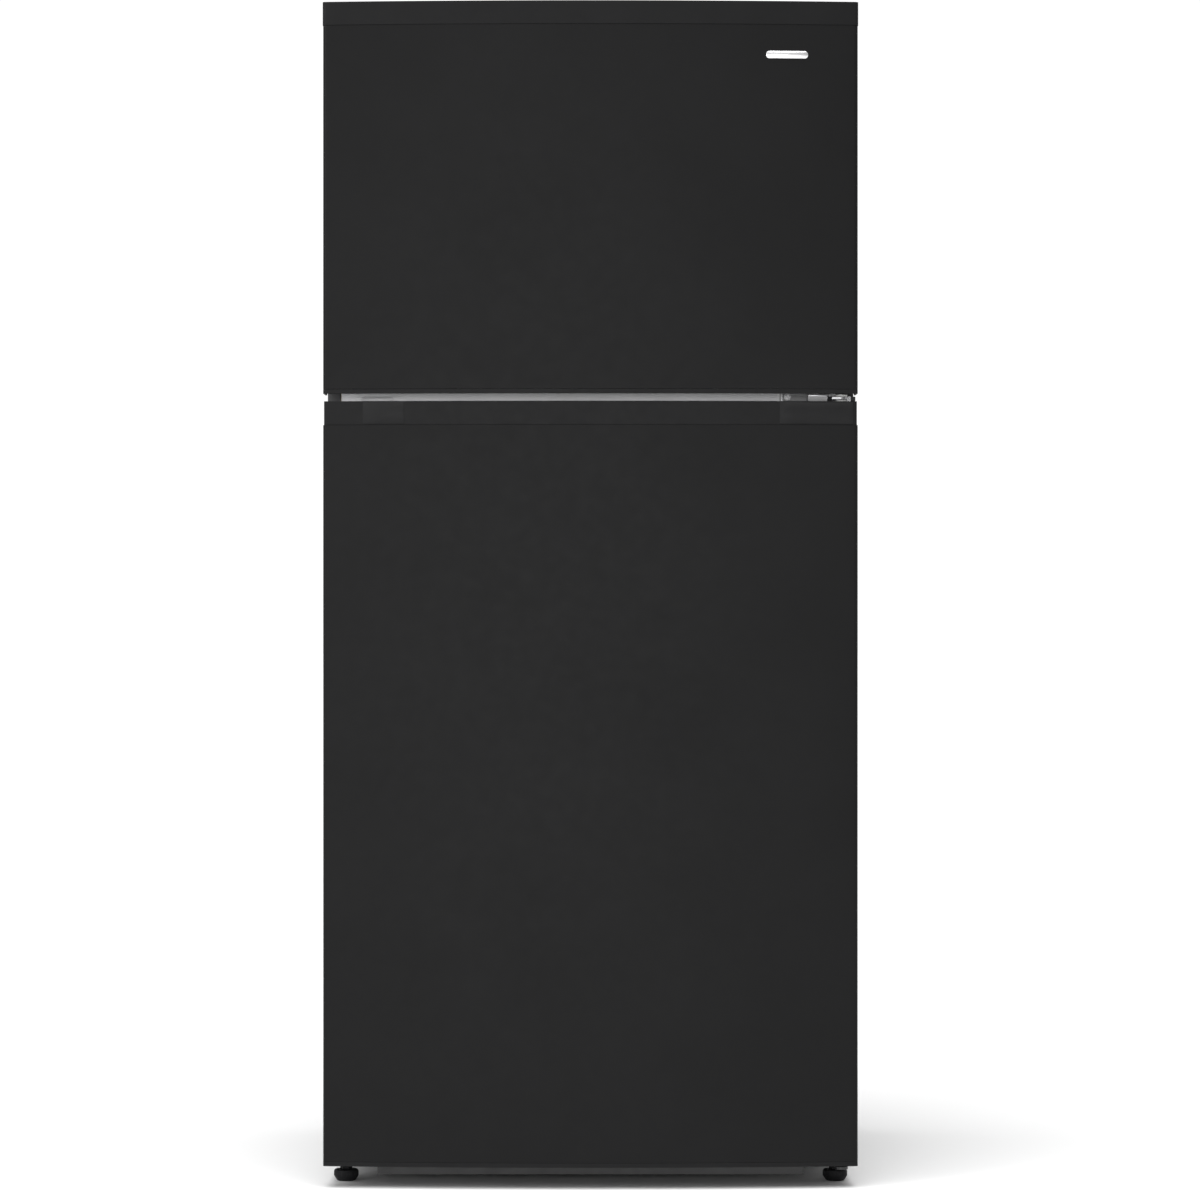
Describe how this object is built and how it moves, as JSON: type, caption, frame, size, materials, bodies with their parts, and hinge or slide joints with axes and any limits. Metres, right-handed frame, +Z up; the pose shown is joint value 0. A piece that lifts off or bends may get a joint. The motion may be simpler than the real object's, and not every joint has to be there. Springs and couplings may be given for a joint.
{
  "type": "top freezer refrigerator",
  "caption": "Free-standing refrigerator with a freezer compartment above the fresh-food compartment, two bowed black doors hinged on the right, and recessed finger grips.",
  "frame": {"origin": "on the floor, under the middle of the overall box", "axes": "+Z up, -Y out of the door fronts, +X towards the hinge side (right when seen from the front)"},
  "size_m": [0.7914, 0.7214, 1.758],
  "materials": {
    "door_steel": "satin",
    "door_plastic": "satin",
    "case_steel": "satin",
    "dark_plastic": "matte",
    "white_plastic": "satin",
    "clear_plastic": "gloss",
    "shelf_glass": "gloss",
    "rail_grey": "satin",
    "zinc_steel": "satin",
    "nickel_steel": "polished",
    "foam": "matte",
    "aluminium": "satin",
    "copper": "polished",
    "black_enamel": "satin",
    "gasket_rubber": "matte"
  },
  "bodies": {
    "cabinet": {"outer_case": "case_steel", "base_pan": "black_enamel", "insulation_foam": "foam", "freezer_liner": "white_plastic", "fridge_liner": "white_plastic", "back_panel": "zinc_steel", "mullion_rail": "rail_grey", "hinge_hole_cover": "dark_plastic", "top_hinge_bracket": "zinc_steel", "top_hinge_cover": "door_plastic", "middle_hinge_bracket": "nickel_steel", "bottom_hinge_bracket": "black_enamel", "left_foot_bracket": "black_enamel", "compressor_tray": "black_enamel", "compressor": "black_enamel", "refrigerant_line": "copper", "drip_tray": "dark_plastic", "drain_tube": "white_plastic", "machine_room_cover": "dark_plastic", "evaporator_coil": "aluminium", "evaporator_cover": "white_plastic", "fan_motor": "dark_plastic", "freezer_shelf": "shelf_glass", "ice_maker_frame": "white_plastic", "fridge_air_duct": "white_plastic", "control_housing": "white_plastic", "fridge_shelf_1": "shelf_glass", "fridge_shelf_2": "shelf_glass", "fridge_shelf_3": "shelf_glass", "crisper_cover": "shelf_glass"},
    "freezer_door": {"freezer_door_skin": "door_steel", "freezer_door_top_cap": "door_plastic", "freezer_door_bottom_cap": "door_plastic", "freezer_door_foam": "foam", "freezer_door_liner": "white_plastic", "freezer_door_gasket": "gasket_rubber", "freezer_door_bin_lower": "clear_plastic", "freezer_door_bin_upper": "clear_plastic"},
    "fridge_door": {"fridge_door_skin": "door_steel", "fridge_door_top_cap": "door_plastic", "fridge_door_bottom_cap": "door_plastic", "fridge_door_foam": "foam", "fridge_door_liner": "white_plastic", "fridge_door_gasket": "gasket_rubber", "fridge_door_bin_1": "clear_plastic", "fridge_door_bin_2": "clear_plastic", "fridge_door_bin_3": "clear_plastic", "fridge_door_stop": "dark_plastic"},
    "front_foot_left": {"front_foot_left": "dark_plastic"},
    "front_foot_right": {"front_foot_right": "dark_plastic"},
    "rear_roller_left": {"rear_roller_left": "dark_plastic"},
    "rear_roller_right": {"rear_roller_right": "dark_plastic"},
    "evaporator_fan": {"evaporator_fan": "dark_plastic"},
    "ice_tray": {"ice_tray": "clear_plastic"},
    "ice_bin": {"ice_bin": "clear_plastic"},
    "crisper_left": {"crisper_left": "clear_plastic"},
    "crisper_right": {"crisper_right": "clear_plastic"},
    "humidity_slider": {"humidity_slider": "dark_plastic"},
    "freezer_airflow_knob": {"freezer_airflow_knob": "white_plastic"},
    "fridge_temperature_knob": {"fridge_temperature_knob": "white_plastic"}
  },
  "joints": [
    {"name": "freezer_door_hinge", "type": "hinge", "parent": "cabinet", "child": "freezer_door", "pos_m": [0.372, -0.314, 1.45], "axis": [0, 0, 1], "range_deg": [0, 110]},
    {"name": "fridge_door_hinge", "type": "hinge", "parent": "cabinet", "child": "fridge_door", "pos_m": [0.372, -0.314, 0.6], "axis": [0, 0, 1], "range_deg": [0, 110]},
    {"name": "crisper_left_slide", "type": "slide", "parent": "cabinet", "child": "crisper_left", "axis": [0, -1, 0], "range_m": [0, 0.09]},
    {"name": "crisper_right_slide", "type": "slide", "parent": "cabinet", "child": "crisper_right", "axis": [0, -1, 0], "range_m": [0, 0.09]},
    {"name": "ice_bin_slide", "type": "slide", "parent": "cabinet", "child": "ice_bin", "axis": [0, -1, 0], "range_m": [0, 0.1]},
    {"name": "ice_tray_twist", "type": "hinge", "parent": "cabinet", "child": "ice_tray", "pos_m": [-0.276, 0, 1.58], "axis": [0, 1, 0], "range_deg": [0, 150], "stiffness_Nm_per_rad": 0.05},
    {"name": "humidity_slide", "type": "slide", "parent": "cabinet", "child": "humidity_slider", "axis": [1, 0, 0], "range_m": [0, 0.036]},
    {"name": "freezer_airflow_turn", "type": "hinge", "parent": "cabinet", "child": "freezer_airflow_knob", "pos_m": [0.23, 0.226, 1.3], "axis": [0, 1, 0], "range_deg": [0, 180]},
    {"name": "fridge_temperature_turn", "type": "hinge", "parent": "cabinet", "child": "fridge_temperature_knob", "pos_m": [0.09, -0.15, 1.118], "axis": [0, 1, 0], "range_deg": [0, 240]},
    {"name": "evaporator_fan_spin", "type": "hinge", "parent": "cabinet", "child": "evaporator_fan", "pos_m": [0, 0.251, 1.59], "axis": [0, 1, 0], "continuous": true},
    {"name": "front_foot_left_turn", "type": "hinge", "parent": "cabinet", "child": "front_foot_left", "pos_m": [-0.366, -0.254, 0], "axis": [0, 0, 1], "continuous": true},
    {"name": "front_foot_right_turn", "type": "hinge", "parent": "cabinet", "child": "front_foot_right", "pos_m": [0.366, -0.254, 0], "axis": [0, 0, 1], "continuous": true},
    {"name": "rear_roller_left_spin", "type": "hinge", "parent": "cabinet", "child": "rear_roller_left", "pos_m": [-0.33, 0.3, 0.02], "axis": [1, 0, 0], "continuous": true},
    {"name": "rear_roller_right_spin", "type": "hinge", "parent": "cabinet", "child": "rear_roller_right", "pos_m": [0.33, 0.3, 0.02], "axis": [1, 0, 0], "continuous": true}
  ]
}
